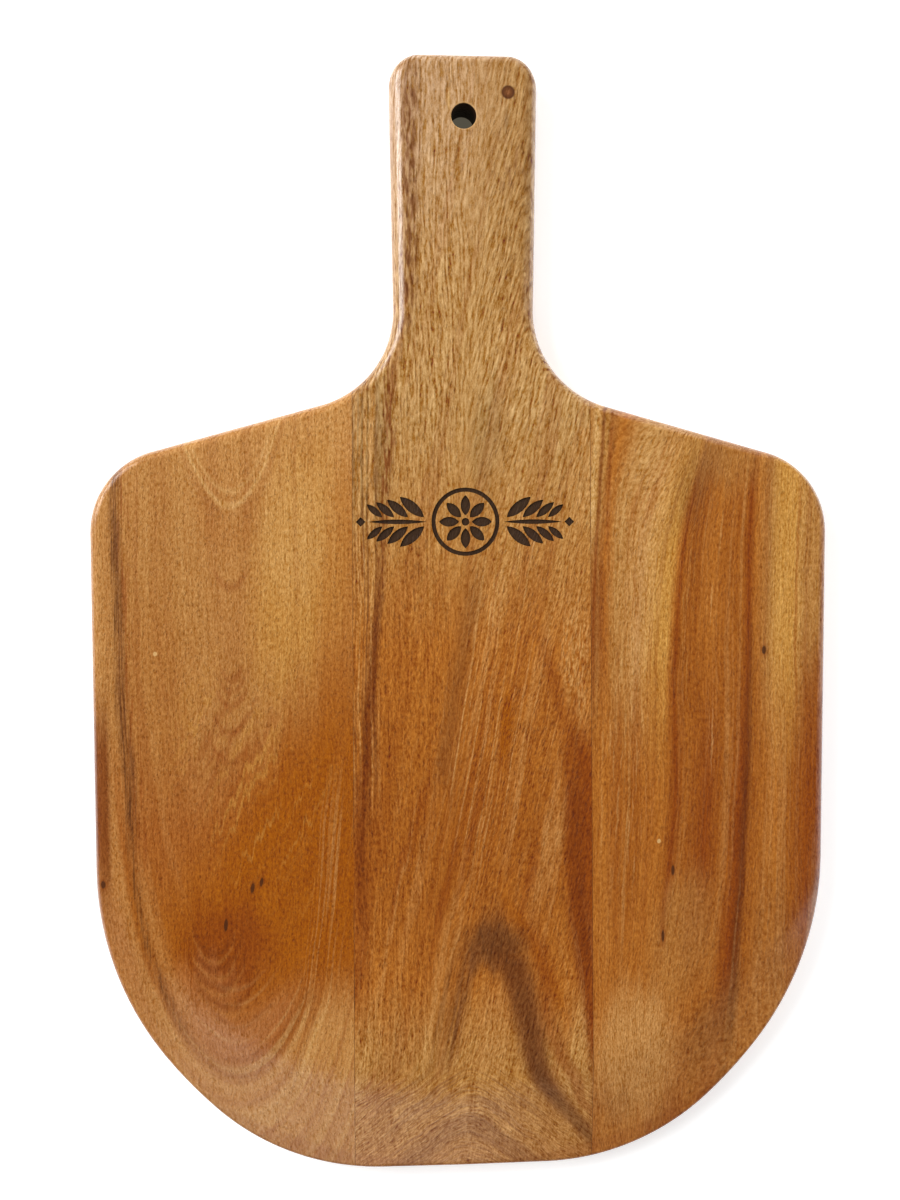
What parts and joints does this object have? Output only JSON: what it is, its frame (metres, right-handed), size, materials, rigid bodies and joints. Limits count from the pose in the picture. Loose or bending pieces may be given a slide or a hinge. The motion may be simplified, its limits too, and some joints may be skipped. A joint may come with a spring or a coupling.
{
  "type": "pizza serving board",
  "caption": "Flat wooden serving board: a broad blade of edge-glued staves with a tapered round toe, and a round-edged handle with a hanging hole.",
  "frame": {"origin": "middle of the board's box, on the plane of its underside", "axes": "+Y along the board towards the end of the handle, +Z out of the top face, +X to the right seen from above"},
  "size_m": [0.305, 0.4634, 0.016],
  "materials": {
    "wood_left": "satin oil, warm tan flat-sawn hardwood",
    "wood_centre": "satin oil, golden tan hardwood with dark pores",
    "wood_right": "satin oil, brown hardwood with darker streaks",
    "glue": "cured wood glue, dark amber, matte"
  },
  "bodies": {
    "root": {"stave_left": "wood_left", "stave_centre": "wood_centre", "stave_right": "wood_right", "glue_line_left": "glue", "glue_line_right": "glue"}
  },
  "joints": []
}
